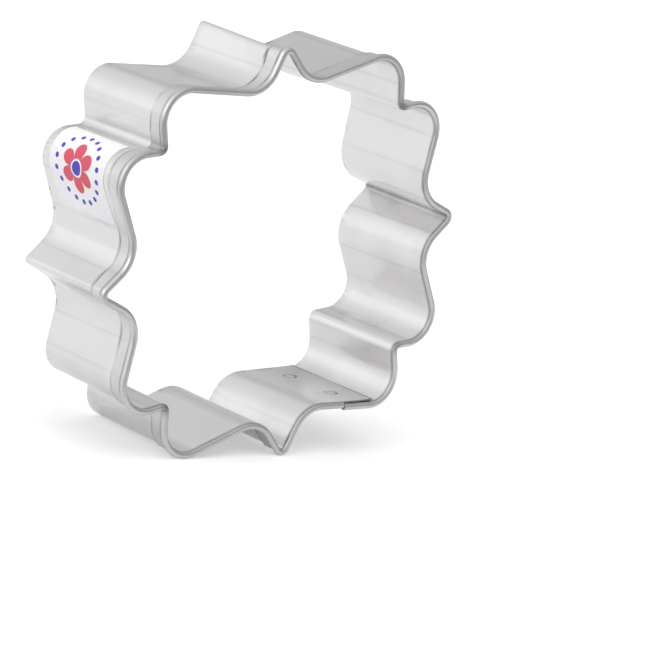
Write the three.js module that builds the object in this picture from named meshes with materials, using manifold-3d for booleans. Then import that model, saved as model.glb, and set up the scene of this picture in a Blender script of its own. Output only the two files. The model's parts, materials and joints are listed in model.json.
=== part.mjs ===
// Plaque cookie cutter: a hemmed tinplate strip bent to a scalloped outline, lapped, spot welded
// and labelled.
import * as THREE from 'three';
import { mergeVertices } from 'three/addons/utils/BufferGeometryUtils.js';
import Module from 'manifold-3d';

// Strip, in millimetres
const stripDepth = 25.4;      // cutting edge to folded rim
const sheet = 0.3;            // tinplate
const hemWidth = 4.5;         // rim to the free edge of the folded flap
const hemBead = 1.3;          // thickness of the rolled bead along the rim
const hemGap = 0.12;          // between the wall and the flap
const hemTuck = 45;           // degrees that the flap turns in under the bead
const tuckBend = 0.6;         // mid-sheet radius where it turns parallel to the wall again
const foldStep = 30;          // degrees of fold for each facet

// Outline at mid sheet, seen from the rim: corners first, bends after
const sideTipReach = 41;      // axis to the left and right points
const endTipReach = 39.2;     // axis to the top and bottom points
const tipAngle = 64;          // degrees between the two flanks of a point
const tipFlank = 9.9;         // from a point to the corner of the hollow beside it
const lobeReach = 44.7;       // axis to the corner of a shoulder
const lobeShare = 0.78;       // its place on the turn from point to notch
const notchReach = 35.2;      // axis to the corner of a notch
const notchAngle = 41.3;      // degrees from a side point to the notches beside it
const tipBend = 0.75;
const hollowBend = 6.7;
const lobeBend = 5.1;
const notchBend = 1.5;
const bendStep = 16;          // degrees of bend for each facet

// Lap joint, measured along the outline from the bottom point
const lapCentre = 20;
const lapLength = 11;
const lapGap = 0.1;           // between the two layers
const lapBlend = 8;           // length over which the outer layer comes back to the outline
const blendFacets = 4;
const hemButt = 18.1;         // where the two ends of the hem meet
const buttGap = 0.3;
const tongueDrop = 1.2;       // rim to the trimmed end of the inner tongue
const tongueRelief = 0.4;     // free edge of the hem to the trimmed top of the outer tongue

// Spot welds
const weldDiameter = 2.6;
const weldClearance = 0.2;
const weldDish = 0.08;        // depth of the electrode mark in each face
const weldFromRim = 6.7;
const weldPitch = 12.4;
const weldSides = 24;
const weldRings = 3;

// Label on the shoulder between the left point and the upper left notch
const labelLength = 17;       // along the outline
const labelRise = 1.4;        // how far it drifts towards the rim along its length
const labelPaper = 0.12;
const labelGap = 0.2;
const labelFromNotch = 3.1;
const labelFromEdge = 1.6;    // cutting edge to its nearest corner
const labelFromHem = 1.3;     // free edge of the hem to its nearest corner

const tinplate = new THREE.MeshStandardMaterial({ color: 0xd8d8da, metalness: 1, roughness: 0.32 });
const weldMetal = new THREE.MeshStandardMaterial({ color: 0xb4b4b8, metalness: 1, roughness: 0.45 });
const paper = new THREE.MeshStandardMaterial({ color: 0xf3f0f6, metalness: 0, roughness: 0.6 });

const radians = THREE.MathUtils.degToRad;
const halfSheet = sheet / 2;
const beadBend = (hemBead - sheet) / 2;     // mid-sheet radius of the bead
const beadCentre = new THREE.Vector2(beadBend, stripDepth - hemBead / 2);

function polar(reach, angle) {
  return new THREE.Vector2(reach * Math.cos(angle), reach * Math.sin(angle));
}

// The corners from one point round to the next, with their bend radii
function quarterCorners(quarter) {
  const towardSide = quarter % 2 === 0;
  const start = quarter * Math.PI / 2;
  const end = start + Math.PI / 2;
  const firstTurn = radians(towardSide ? notchAngle : 90 - notchAngle);
  const lastTurn = Math.PI / 2 - firstTurn;
  const firstTip = polar(towardSide ? sideTipReach : endTipReach, start);
  const lastTip = polar(towardSide ? endTipReach : sideTipReach, end);
  const halfTip = radians(tipAngle) / 2;
  return [
    { name: 'tip', at: firstTip, bend: tipBend },
    { name: 'hollow', at: polar(tipFlank, start + Math.PI - halfTip).add(firstTip), bend: hollowBend },
    { name: 'lobe', at: polar(lobeReach, start + firstTurn * lobeShare), bend: lobeBend },
    { name: 'notch', at: polar(notchReach, start + firstTurn), bend: notchBend },
    { name: 'lobe', at: polar(lobeReach, end - lastTurn * lobeShare), bend: lobeBend },
    { name: 'hollow', at: polar(tipFlank, end + Math.PI + halfTip).add(lastTip), bend: hollowBend },
  ];
}

// Each corner becomes an arc tangent to the two straights that meet there
function cornerArc(before, corner, after) {
  const back = before.at.clone().sub(corner.at).normalize();
  const on = after.at.clone().sub(corner.at).normalize();
  const half = back.angleTo(on) / 2;
  const middle = back.clone().add(on).normalize();
  const centre = middle.multiplyScalar(corner.bend / Math.sin(half)).add(corner.at);
  const first = back.multiplyScalar(corner.bend / Math.tan(half)).add(corner.at).sub(centre);
  const turnsLeft = before.at.clone().sub(corner.at).cross(on) < 0;
  const sweep = (Math.PI - 2 * half) * (turnsLeft ? 1 : -1);
  return { centre, bend: corner.bend, start: first.angle(), sweep, name: corner.name };
}

const corners = [0, 1, 2, 3].flatMap(quarterCorners);
const arcs = corners.map((corner, i) => {
  return cornerArc(corners.at(i - 1), corner, corners[(i + 1) % corners.length]);
});

// The closed outline as straights and arcs, each with its own point and outward normal at a distance along it
function arcPiece(arc) {
  const length = arc.bend * Math.abs(arc.sweep);
  const facets = Math.max(2, Math.ceil(THREE.MathUtils.radToDeg(Math.abs(arc.sweep)) / bendStep));
  const sample = (along) => {
    const ray = polar(1, arc.start + arc.sweep * along / length);
    const normal = ray.clone().multiplyScalar(Math.sign(arc.sweep));
    return { point: ray.multiplyScalar(arc.bend).add(arc.centre), normal };
  };
  return { length, facets, sample, name: arc.name };
}

function straightPiece(from, to) {
  const way = to.clone().sub(from);
  const length = way.length();
  const direction = way.normalize();
  const normal = new THREE.Vector2(direction.y, -direction.x);
  const sample = (along) => ({ point: direction.clone().multiplyScalar(along).add(from), normal });
  return { length, facets: 1, sample, name: 'flank' };
}

const outline = [];
arcs.forEach((arc, i) => {
  const bent = arcPiece(arc);
  const next = arcPiece(arcs[(i + 1) % arcs.length]);
  outline.push(bent, straightPiece(bent.sample(bent.length).point, next.sample(0).point));
});
let walked = 0;
for (const piece of outline) {
  piece.start = walked;
  walked += piece.length;
}
const outlineLength = walked;

function sampleOutline(distance) {
  const along = THREE.MathUtils.euclideanModulo(distance, outlineLength);
  const piece = outline.findLast((candidate) => candidate.start <= along);
  return piece.sample(along - piece.start);
}

function cornerDistance(name, count) {
  const piece = outline.filter((candidate) => candidate.name === name)[count];
  return piece.start + piece.length / 2;
}

// Distances where a swept piece needs a section: its ends, set places and the facets of every bend between
function sectionDistances(from, to, places = []) {
  const distances = [from, to, ...places];
  const lap = Math.floor(from / outlineLength) * outlineLength;
  for (const turn of [lap, lap + outlineLength]) {
    for (const piece of outline) {
      for (let i = 0; i < piece.facets; i += 1) {
        distances.push(turn + piece.start + piece.length * i / piece.facets);
      }
    }
  }
  const inside = distances.filter((distance) => distance >= from && distance <= to).sort((a, b) => a - b);
  return inside.filter((distance, i) => i === 0 || distance - inside[i - 1] > sheet / 100);
}

// A section point is (stand-off from mid sheet, height above the cutting edge)
function placeSection(section, distance) {
  const { point, normal } = sampleOutline(distance);
  return section.map((corner) => {
    const foot = normal.clone().multiplyScalar(corner.x).add(point);
    return new THREE.Vector3(foot.x, foot.y, corner.y);
  });
}

class SweepBuilder {
  positions = [];

  triangle(a, b, c) {
    for (const corner of [a, b, c]) this.positions.push(corner.x, corner.y, corner.z);
  }

  // Side walls between two neighbouring sections
  span(before, after) {
    before.forEach((corner, i) => {
      const j = (i + 1) % before.length;
      this.triangle(corner, after[j], before[j]);
      this.triangle(corner, after[i], after[j]);
    });
  }

  // A flat end: section gives its flat form, placed its corners in space
  cap(section, placed, facesBack) {
    for (const [a, b, c] of THREE.ShapeUtils.triangulateShape(section, [])) {
      if (facesBack) this.triangle(placed[a], placed[b], placed[c]);
      else this.triangle(placed[a], placed[c], placed[b]);
    }
  }

  geometry() {
    const raw = new THREE.BufferGeometry();
    raw.setAttribute('position', new THREE.Float32BufferAttribute(this.positions, 3));
    return mergeVertices(raw, sheet / 1000);
  }
}

// Each section may differ from the one before, but has as many corners
function sweep(builder, distances, sectionAt) {
  const placed = distances.map((distance) => placeSection(sectionAt(distance), distance));
  for (let i = 1; i < placed.length; i += 1) builder.span(placed[i - 1], placed[i]);
  return placed;
}

function movedBy(section, standOff, height) {
  const move = new THREE.Vector2(standOff, height);
  return section.map((corner) => corner.clone().add(move));
}

// Strip sections: the wall alone, and the wall with its edge rolled outwards and folded down
const outerTongueTop = stripDepth - hemWidth - tongueRelief;

function wallSection(heights) {
  const outside = heights.map((height) => new THREE.Vector2(halfSheet, height));
  const inside = heights.map((height) => new THREE.Vector2(-halfSheet, height));
  return [...outside, ...inside.reverse()];
}

// Mid sheet from the top of the wall over the bead and down the flap, with the normal away from the bead
function foldPath() {
  const tuck = radians(hemTuck);
  const flapStandOff = sheet + hemGap;
  const steps = (from, to) => {
    const count = Math.ceil(THREE.MathUtils.radToDeg(Math.abs(to - from)) / foldStep);
    return Array.from({ length: count + 1 }, (_, i) => from + (to - from) * i / count);
  };
  const bead = steps(Math.PI, -tuck).map((angle) => {
    return { at: polar(beadBend, angle).add(beadCentre), normal: polar(1, angle) };
  });
  const leaving = bead.at(-1);
  const bendShift = tuckBend * (1 - Math.cos(tuck));
  const run = (leaving.at.x - flapStandOff - bendShift) / Math.sin(tuck);
  const bendTop = leaving.at.y - run * Math.cos(tuck);
  const bendCentre = new THREE.Vector2(flapStandOff + tuckBend, bendTop - tuckBend * Math.sin(tuck));
  const bend = steps(-tuck, 0).map((angle) => {
    return { at: polar(-tuckBend, angle).add(bendCentre), normal: polar(1, angle) };
  });
  const foot = { at: new THREE.Vector2(flapStandOff, stripDepth - hemWidth), normal: polar(1, 0) };
  return [...bead, ...bend, foot];
}

function hemmedSection() {
  const path = foldPath();
  const face = (side) => path.map(({ at, normal }) => {
    return normal.clone().multiplyScalar(side * halfSheet).add(at);
  });
  const wall = wallSection([0, outerTongueTop]);
  return [...wall.slice(0, 2), ...face(-1), ...face(1).reverse(), ...wall.slice(2)];
}

// The part of the hemmed section that rises above a trimmed tongue
function aboveTongue(section, top) {
  return section.map((corner, index) => ({ corner, index })).filter(({ corner }) => {
    return corner.y > top - sheet / 100 || corner.x > halfSheet + sheet / 100;
  });
}

const bottomPoint = cornerDistance('tip', 3);
const outerEnd = bottomPoint + lapCentre - lapLength / 2;
const hemStart = bottomPoint + hemButt + buttGap / 2;
const hemEnd = bottomPoint + hemButt - buttGap / 2 + outlineLength;
const innerEnd = bottomPoint + lapCentre + lapLength / 2 + outlineLength;
const blendStart = innerEnd - outlineLength + sheet;
const lapStep = sheet + lapGap;

// The outer layer of the lap stands out by one sheet, then eases back to the outline
function lapShift(distance) {
  return lapStep * (1 - THREE.MathUtils.smoothstep(distance, blendStart, blendStart + lapBlend));
}

function stepFace(builder, section, placed, top, facesBack) {
  const rising = aboveTongue(section, top);
  builder.cap(rising.map(({ corner }) => corner), rising.map(({ index }) => placed[index]), facesBack);
}

// The inner tongue is trimmed on a slant, from the foot of the bead down to its end
function innerTongueTop(distance) {
  const share = (distance - hemEnd) / (innerEnd - hemEnd);
  return THREE.MathUtils.lerp(beadCentre.y, stripDepth - tongueDrop, share);
}

function buildStrip() {
  const builder = new SweepBuilder();
  const hemmed = hemmedSection();
  const shifted = (section) => (distance) => movedBy(section, lapShift(distance), 0);
  const outerTongue = wallSection([0, outerTongueTop]);
  const innerTongue = (distance) => wallSection([0, outerTongueTop, innerTongueTop(distance)]);
  const blendPlaces = Array.from({ length: blendFacets + 1 }, (_, i) => {
    return blendStart + lapBlend * i / blendFacets;
  });

  const tail = sweep(builder, sectionDistances(outerEnd, hemStart), shifted(outerTongue));
  builder.cap(outerTongue, tail[0], true);
  const body = sweep(builder, sectionDistances(hemStart, hemEnd, blendPlaces), shifted(hemmed));
  stepFace(builder, hemmed, body[0], outerTongueTop, true);
  stepFace(builder, hemmed, body.at(-1), beadCentre.y, false);
  const tongue = sweep(builder, sectionDistances(hemEnd, innerEnd), innerTongue);
  builder.cap(innerTongue(innerEnd), tongue.at(-1), false);
  return builder.geometry();
}

// Spot welds: dished nuggets that fill holes through both layers
const wasm = await Module();
wasm.setup();

function toSolid(geometry) {
  const bare = geometry.clone();
  for (const name of Object.keys(bare.attributes)) if (name !== 'position') bare.deleteAttribute(name);
  const merged = mergeVertices(bare, sheet / 1000);
  const vertProperties = Float32Array.from(merged.attributes.position.array);
  const triVerts = Uint32Array.from(merged.index.array);
  return new wasm.Manifold(new wasm.Mesh({ numProp: 3, vertProperties, triVerts }));
}

function toGeometry(solid) {
  const mesh = solid.getMesh();
  const geometry = new THREE.BufferGeometry();
  geometry.setAttribute('position', new THREE.Float32BufferAttribute(mesh.vertProperties, 3));
  geometry.setIndex(Array.from(mesh.triVerts));
  return geometry;
}

const weldPlace = sampleOutline(bottomPoint + lapCentre);
const lapInside = -halfSheet;
const lapOutside = lapStep + halfSheet;

// Turns a lathed solid's axis from +Y to the wall's outward normal at the weld line
function seatAtWeld(target, height) {
  const outward = new THREE.Vector3(weldPlace.normal.x, weldPlace.normal.y, 0);
  target.quaternion.setFromUnitVectors(new THREE.Vector3(0, 1, 0), outward);
  target.position.set(weldPlace.point.x, weldPlace.point.y, height);
  return target;
}

function weldNugget() {
  const radius = weldDiameter / 2;
  const rings = Array.from({ length: weldRings + 1 }, (_, i) => i / weldRings);
  const dish = (ring) => weldDish * (1 - ring * ring);
  const inside = rings.map((ring) => new THREE.Vector2(radius * ring, lapInside + dish(ring)));
  const outside = rings.map((ring) => new THREE.Vector2(radius * ring, lapOutside - dish(ring)));
  return new THREE.LatheGeometry([...inside, ...outside.reverse()], weldSides);
}

function weldHole(height) {
  const radius = weldDiameter / 2 + weldClearance;
  const length = lapOutside - lapInside + 2 * lapStep;
  const drill = new THREE.CylinderGeometry(radius, radius, length, weldSides);
  drill.translate(0, (lapInside + lapOutside) / 2, 0);
  const seat = seatAtWeld(new THREE.Object3D(), height);
  seat.updateMatrix();
  return toSolid(drill.applyMatrix4(seat.matrix));
}

const frontWeldHeight = stripDepth - weldFromRim;
const weldHeights = { spot_weld_front: frontWeldHeight, spot_weld_rear: frontWeldHeight - weldPitch };

// Label: a strip of paper that follows the shoulder and drifts towards the rim
function buildLabel() {
  const stuckSide = halfSheet + labelGap;
  const freeSide = stuckSide + labelPaper;
  const rimSide = stripDepth - hemWidth - labelFromHem - labelRise;
  const section = [
    new THREE.Vector2(freeSide, labelFromEdge), new THREE.Vector2(freeSide, rimSide),
    new THREE.Vector2(stuckSide, rimSide), new THREE.Vector2(stuckSide, labelFromEdge),
  ];
  const start = cornerDistance('notch', 1) + labelFromNotch;
  const drifted = (distance) => movedBy(section, 0, labelRise * (distance - start) / labelLength);
  const builder = new SweepBuilder();
  const placed = sweep(builder, sectionDistances(start, start + labelLength), drifted);
  builder.cap(section, placed[0], true);
  builder.cap(section, placed.at(-1), false);
  return builder.geometry();
}

function addPiece(parent, name, geometry, material) {
  const flat = geometry.index ? geometry.toNonIndexed() : geometry;
  flat.computeVertexNormals();
  const mesh = new THREE.Mesh(flat, material);
  mesh.name = name;
  parent.add(mesh);
  return mesh;
}

// The cutter in its own axes: outline in XY, cutting edge at z = 0, rim at z = stripDepth
const cutter = new THREE.Group();
let strip = toSolid(buildStrip());
for (const [name, height] of Object.entries(weldHeights)) {
  strip = strip.subtract(weldHole(height));
  seatAtWeld(addPiece(cutter, name, weldNugget(), weldMetal), height);
}
addPiece(cutter, 'cutter_strip', toGeometry(strip), tinplate);
addPiece(cutter, 'label', buildLabel(), paper);

// It stands on the bottom point and the shoulder to the left of it, on the cutting edge and the bead
const tipArc = arcs.filter((arc) => arc.name === 'tip')[3];
const lobeArc = arcs.filter((arc) => arc.name === 'lobe')[5];
const across = tipArc.centre.clone().sub(lobeArc.centre);
const spin = -across.angle() - Math.asin((lobeBend - tipBend) / across.length());
const edgeToBead = beadCentre.clone().sub(new THREE.Vector2(halfSheet, 0));
const lean = Math.atan2(edgeToBead.x, edgeToBead.y) + Math.asin(hemBead / 2 / edgeToBead.length());

cutter.rotation.z = spin;
const stand = new THREE.Group();
stand.add(cutter);
stand.rotation.x = Math.PI / 2 - lean;
stand.updateMatrixWorld(true);
const box = new THREE.Box3().setFromObject(stand, true);
const middle = box.getCenter(new THREE.Vector3());
stand.position.set(-middle.x, -middle.y, -box.min.z);

const part = new THREE.Group();
part.add(stand);
export default part;
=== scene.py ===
import bpy
import json
import math
from mathutils import Matrix, Vector, noise


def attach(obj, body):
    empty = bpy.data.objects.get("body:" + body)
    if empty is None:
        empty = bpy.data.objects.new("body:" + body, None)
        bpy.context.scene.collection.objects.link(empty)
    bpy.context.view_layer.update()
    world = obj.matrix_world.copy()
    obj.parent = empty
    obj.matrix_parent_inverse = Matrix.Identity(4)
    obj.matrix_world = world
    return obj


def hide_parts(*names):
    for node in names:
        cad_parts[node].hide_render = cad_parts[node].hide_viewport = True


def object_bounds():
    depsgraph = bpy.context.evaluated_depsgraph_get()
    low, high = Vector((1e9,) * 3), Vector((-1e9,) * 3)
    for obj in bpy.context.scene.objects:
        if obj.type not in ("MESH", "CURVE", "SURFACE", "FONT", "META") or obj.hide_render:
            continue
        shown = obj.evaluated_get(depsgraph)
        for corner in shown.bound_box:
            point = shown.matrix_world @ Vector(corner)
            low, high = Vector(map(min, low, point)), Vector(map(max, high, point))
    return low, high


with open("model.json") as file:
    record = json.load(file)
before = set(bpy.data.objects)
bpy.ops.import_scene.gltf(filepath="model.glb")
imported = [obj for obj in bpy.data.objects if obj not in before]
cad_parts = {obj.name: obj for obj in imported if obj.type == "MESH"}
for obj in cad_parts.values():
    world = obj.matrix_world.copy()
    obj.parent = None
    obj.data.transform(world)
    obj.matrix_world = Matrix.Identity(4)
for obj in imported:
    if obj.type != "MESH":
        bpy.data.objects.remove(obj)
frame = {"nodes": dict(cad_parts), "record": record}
cadLow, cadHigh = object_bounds()
mm = 0.001
print("frame loaded:", ", ".join(sorted(frame["nodes"])))


# small helpers for working by operator
def deselectAll():
    if bpy.context.object and bpy.context.object.mode != "OBJECT":
        bpy.ops.object.mode_set(mode="OBJECT")
    bpy.ops.object.select_all(action="DESELECT")


def pick(piece):
    deselectAll()
    piece.select_set(True)
    bpy.context.view_layer.objects.active = piece


def applyModifier(piece, kind, **settings):
    pick(piece)
    modifier = piece.modifiers.new(kind.lower(), kind)
    for name, value in settings.items():
        setattr(modifier, name, value)
    bpy.ops.object.modifier_apply(modifier=modifier.name)


def smoothStep(low, high, value):
    t = min(1.0, max(0.0, (value - low) / (high - low)))
    return t * t * (3 - 2 * t)


def bump(centre, half, value):
    away = abs(value - centre) / half
    return 0.0 if away >= 1 else 0.5 + 0.5 * math.cos(math.pi * away)


# outline of the cutter at mid sheet, seen from the rim, in millimetres
outline = dict(
    sideTip=41.0, endTip=39.2,           # axis to the points
    tipAngle=64.0, tipFlank=9.9,         # spread of a point, and its flank out to the hollow's corner
    lobe=44.7, lobeShare=0.78,           # shoulder corner: reach, and share of the turn from point to notch
    notch=35.2, notchAngle=41.3,
    bends=dict(tip=0.75, hollow=6.7, lobe=5.1, notch=1.5),
    bendSteps=dict(tip=6.0, hollow=3.0, lobe=3.0, notch=6.0),   # degrees to a facet
    flankStep=1.6,
    columnGap=0.05, sameColumn=0.000001,    # closest columns of the sweep, and columns taken as one
    # how the bent strip strays from the drawing: corner, then moves out and round of the rim and of the edge
    strays={
        ("tip", 0): dict(rim=(-0.7, 0.0), edge=(0.0, 0.2)),
        ("hollow", 0): dict(rim=(-0.4, 0.0), edge=(0.4, 0.0)),
        ("lobe", 0): dict(rim=(-0.2, -0.5), edge=(-0.2, 0.0)),
        ("notch", 0): dict(rim=(0.2, -0.5), edge=(0.0, 0.0)),
        ("lobe", 1): dict(rim=(-0.9, -0.2), edge=(0.0, -0.2)),
        ("tip", 1): dict(rim=(-0.7, -0.25), edge=(0.5, 0.3)),
        ("hollow", 2): dict(rim=(-0.4, -0.7), edge=(0.2, 0.0)),
        ("notch", 1): dict(rim=(0.4, 0.0), edge=(0.6, 0.0)),
        ("lobe", 3): dict(rim=(0.4, 0.0), edge=(0.2, -0.2)),
        ("hollow", 3): dict(rim=(0.0, 0.0), edge=(0.6, -0.2)),
        ("tip", 2): dict(rim=(-0.3, 0.2), edge=(-0.1, -0.2)),
        ("hollow", 4): dict(rim=(-0.2, 0.6), edge=(0.2, 0.9)),
        ("lobe", 4): dict(rim=(0.2, 0.0), edge=(-0.3, -0.8)),
        ("hollow", 6): dict(rim=(0.0, 0.0), edge=(0.8, -0.3)),
        ("lobe", 6): dict(rim=(-0.5, 0.5), edge=(-0.9, 0.2)),
        ("lobe", 7): dict(rim=(0.3, 0.2), edge=(0.0, 0.2)),
        ("hollow", 7): dict(rim=(-0.1, -0.3), edge=(0.0, -0.6)),
        ("notch", 3): dict(rim=(0.0, 0.3), edge=(0.0, 0.0)),
    },
)


def polar(reach, angle):
    return Vector((reach * math.cos(angle), reach * math.sin(angle)))


def quarterCorners(quarter):
    fromSide = quarter % 2 == 0
    start, end = quarter * math.pi / 2, (quarter + 1) * math.pi / 2
    firstTurn = math.radians(outline["notchAngle"] if fromSide else 90 - outline["notchAngle"])
    lastTurn = math.pi / 2 - firstTurn
    firstTip = polar(outline["sideTip" if fromSide else "endTip"], start)
    lastTip = polar(outline["endTip" if fromSide else "sideTip"], end)
    halfTip = math.radians(outline["tipAngle"]) / 2
    return [
        ("tip", firstTip),
        ("hollow", firstTip + polar(outline["tipFlank"], start + math.pi - halfTip)),
        ("lobe", polar(outline["lobe"], start + firstTurn * outline["lobeShare"])),
        ("notch", polar(outline["notch"], start + firstTurn)),
        ("lobe", polar(outline["lobe"], end - lastTurn * outline["lobeShare"])),
        ("hollow", lastTip + polar(outline["tipFlank"], end + math.pi + halfTip)),
    ]


def roundedCorner(before, kind, corner, after):
    bend = outline["bends"][kind]
    back, on = (before - corner).normalized(), (after - corner).normalized()
    half = back.angle(on) / 2
    centre = corner + (back + on).normalized() * (bend / math.sin(half))
    first = corner + back * (bend / math.tan(half)) - centre
    turn = math.pi - 2 * half
    sweep = turn if back.x * on.y - back.y * on.x < 0 else -turn
    return dict(kind=kind, centre=centre, bend=bend, start=math.atan2(first.y, first.x), sweep=sweep,
                length=bend * turn, steps=math.ceil(math.degrees(turn) / outline["bendSteps"][kind]))


def alongBend(piece, along):
    ray = polar(1, piece["start"] + piece["sweep"] * along / piece["length"])
    return piece["centre"] + ray * piece["bend"], ray * math.copysign(1, piece["sweep"])


def alongFlank(piece, along):
    way = (piece["to"] - piece["from"]).normalized()
    return piece["from"] + way * along, Vector((way.y, -way.x))


def strayed(corners, end):
    moved, counts = [], {}
    for kind, corner in corners:
        counts[kind] = counts.get(kind, -1) + 1
        out, around = outline["strays"].get((kind, counts[kind]), {}).get(end, (0.0, 0.0))
        ray = corner.normalized()
        moved.append((kind, corner + ray * out + Vector((-ray.y, ray.x)) * around))
    return moved


def outlinePieces(end="drawn"):
    corners = strayed([corner for quarter in range(4) for corner in quarterCorners(quarter)], end)
    count = len(corners)
    bends = [roundedCorner(corners[i - 1][1], *corners[i], corners[(i + 1) % count][1]) for i in range(count)]
    pieces, walked = [], 0.0
    for i, bent in enumerate(bends):
        leaves, meets = alongBend(bent, bent["length"])[0], alongBend(bends[(i + 1) % count], 0)[0]
        length = (meets - leaves).length
        flank = {"kind": "flank", "from": leaves, "to": meets, "length": length,
                 "steps": math.ceil(length / outline["flankStep"])}
        for piece in (bent, flank):
            piece["begins"] = walked
            walked += piece["length"]
            pieces.append(piece)
    return pieces, walked


pieces, roundLength = outlinePieces()
bentPieces = {end: outlinePieces(end)[0] for end in ("rim", "edge")}


def onPiece(piece, share):
    sample = alongFlank if piece["kind"] == "flank" else alongBend
    return sample(piece, share * piece["length"])


def whichPiece(distance):
    along = distance % roundLength
    index = sum(piece["begins"] <= along for piece in pieces) - 1
    return index, (along - pieces[index]["begins"]) / pieces[index]["length"]


def onOutline(distance):
    index, share = whichPiece(distance)
    return onPiece(pieces[index], share)


# the same place on the strip as bent, on a straight line from the cutting edge up to the rim
def onBentStrip(distance, height):
    index, share = whichPiece(distance)
    low, lowOut = onPiece(bentPieces["edge"][index], share)
    high, highOut = onPiece(bentPieces["rim"][index], share)
    up = height / strip["depth"]
    return low.lerp(high, up), lowOut.lerp(highOut, up).normalized()


def cornerAt(kind, count):
    piece = [p for p in pieces if p["kind"] == kind][count]
    return piece["begins"] + piece["length"] / 2


def stations(first, last, extra):
    found = [first, last, *extra]
    for turn in range(2):       # the lapped strip reaches into a second turn
        for piece in pieces:
            begins = turn * roundLength + piece["begins"]
            found += [begins + piece["length"] * i / piece["steps"] for i in range(piece["steps"])]
    keep = {first, last, *extra}
    kept = []
    for distance in sorted(d for d in found if first <= d <= last):
        if kept and distance - kept[-1] < outline["columnGap"]:
            if distance not in keep:
                continue
            if kept[-1] not in keep:
                kept.pop()
            elif distance - kept[-1] < outline["sameColumn"]:
                continue
        kept.append(distance)
    return kept


def bendMarks():
    return [p["begins"] for p in pieces if p["kind"] != "tip"]


print("outline", round(roundLength, 1), "mm round")


# how the cutter stands in the frame: spun onto its bottom point and the shoulder beside it, leaning a little
def standing():
    mount = frame["record"]["mounts"][0]
    axis, onEdge = Vector(mount["axis"]), Vector(mount["pos_m"]) / mm
    lean = math.atan2(-axis.z, axis.y)
    tip = [p for p in pieces if p["kind"] == "tip"][3]
    shoulder = [p for p in pieces if p["kind"] == "lobe"][5]
    across = tip["centre"] - shoulder["centre"]
    spin = -math.atan2(across.y, across.x) - math.asin((shoulder["bend"] - tip["bend"]) / across.length)
    turned = Matrix.Rotation(math.pi / 2 - lean, 4, "X") @ Matrix.Rotation(spin, 4, "Z")
    foot = turned @ Vector((*tip["centre"], 0))
    lift = -foot.z + (tip["bend"] + strip["sheet"] / 2) * math.cos(lean)
    back = (axis.dot(onEdge) - axis.z * lift) / axis.y      # the cutting edge lies in the mount's plane
    return Matrix.Scale(mm, 4) @ Matrix.Translation((0, back, lift)) @ turned


# the strip: tinplate with its edge rolled out into a bead and folded down, ends lapped and welded
strip = dict(
    depth=25.4, sheet=0.3,
    hemWidth=4.5, bead=1.3, hemGap=0.12, tuck=55.0, tuckBend=0.4,
    beadStep=12.0, tuckStep=11.0, wallStep=2.4,
    wallRows=(1.5, 1.0, 0.7), hiddenRow=1.6, flapRows=(0.45, 0.2),   # rows below and above the flap's edge
    rollRows=(3.0, 1.6, 1.0, 0.4),       # rows below the bead, in widths of its dark line
    endColumns=(0.12, 0.4), lapColumns=(0.0, 0.1, 0.35, 0.6),        # columns before and past the tongue end
    flatUnit=100.0,                      # millimetres to one unit of the flat strip's map
    lapCentre=20.0, lapLength=11.0, lapGap=0.1, lapBlend=8.0,
    hemButt=18.1, buttGap=0.3, tongueDrop=1.2, tongueRelief=0.4,
    waver=0.022, waverAlong=7.0, waverDeep=45.0,      # slight hand-bent unevenness
    cutRound=0.05, cutFacets=2, cutAngle=60.0,        # rounding of the sheared edges
    smooth=32.0,                         # degrees up to which facets are shaded as one
    markHalf=0.5,                        # half width of a tool mark
    edgeShadowReach=0.45, edgeShadowFade=0.4,        # painted shadow on the wall beside the flap's edge, and how softly it ends
    grooveReach=0.22, grooveFade=0.28,   # painted shade and dirt on the flap below the bead
    rollLine=0.16, rollShade=0.62, rollTurn=(5.0, 45.0),    # painted shade: a dark line inside, where the wall rolls over
    rollSpots=[(("tip", 1), -2.6, 1.4, 1.0), (("tip", 3), 2.4, 1.4, 0.8)],     # where that line is darkest
    flapWear=0.6, notchReach=2.6, notchDarkening=0.75,          # hem dulled by folding, and darker near the notches
    tongueWear=0.7, tongueReach=13.0,                      # inner tongue dulled towards its end
    folds=[(("tip", 0), 0.0, 1.2, 0.6)],                   # point with painted shade inside its fold
    liftCurve=1.5,                                         # how the flap's lift grows towards its edge
    # where the flap lifts off the wall: corner, offset along the outline, half length, lift
    lifts=[
        (("tip", 1), 1.4, 2.4, 0.35), (("tip", 2), -3.2, 3.6, 0.24), (("tip", 3), -4.0, 3.6, 0.12),
        (("tip", 0), 3.4, 3.4, 0.2), (("tip", 0), -3.4, 3.4, 0.2),
        (("notch", 1), -3.4, 1.6, 0.22), (("notch", 2), 3.2, 1.5, 0.16), (("notch", 0), 3.2, 1.6, 0.14),
    ],
    # where the painted shadow line along the flap's edge is darkest, in the same way
    shadowSpots=[
        (("tip", 1), 2.0, 2.6, 0.9), (("tip", 1), 9.5, 4.5, 0.6), (("hollow", 3), -2.0, 5.0, 0.5),
        (("tip", 2), -3.0, 3.5, 0.6), (("tip", 3), -4.0, 4.0, 0.6), (("hollow", 4), 3.0, 3.0, 0.4),
    ],
)
bottomTip = cornerAt("tip", 3)
lapStep = strip["sheet"] + strip["lapGap"]
outerEnd = bottomTip + strip["lapCentre"] - strip["lapLength"] / 2
hemStart = bottomTip + strip["hemButt"] + strip["buttGap"] / 2
hemEnd = hemStart - strip["buttGap"] + roundLength
innerEnd = outerEnd + strip["lapLength"] + roundLength
blendStart = innerEnd - roundLength + strip["sheet"]
beadBend = (strip["bead"] - strip["sheet"]) / 2
beadHeight = strip["depth"] - strip["bead"] / 2
hemEdge = strip["depth"] - strip["hemWidth"]
outerTongueTop = hemEdge - strip["tongueRelief"]
cutterToRow = standing()


def lapShift(distance):
    return lapStep * (1 - smoothStep(blendStart, blendStart + strip["lapBlend"], distance))


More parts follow.
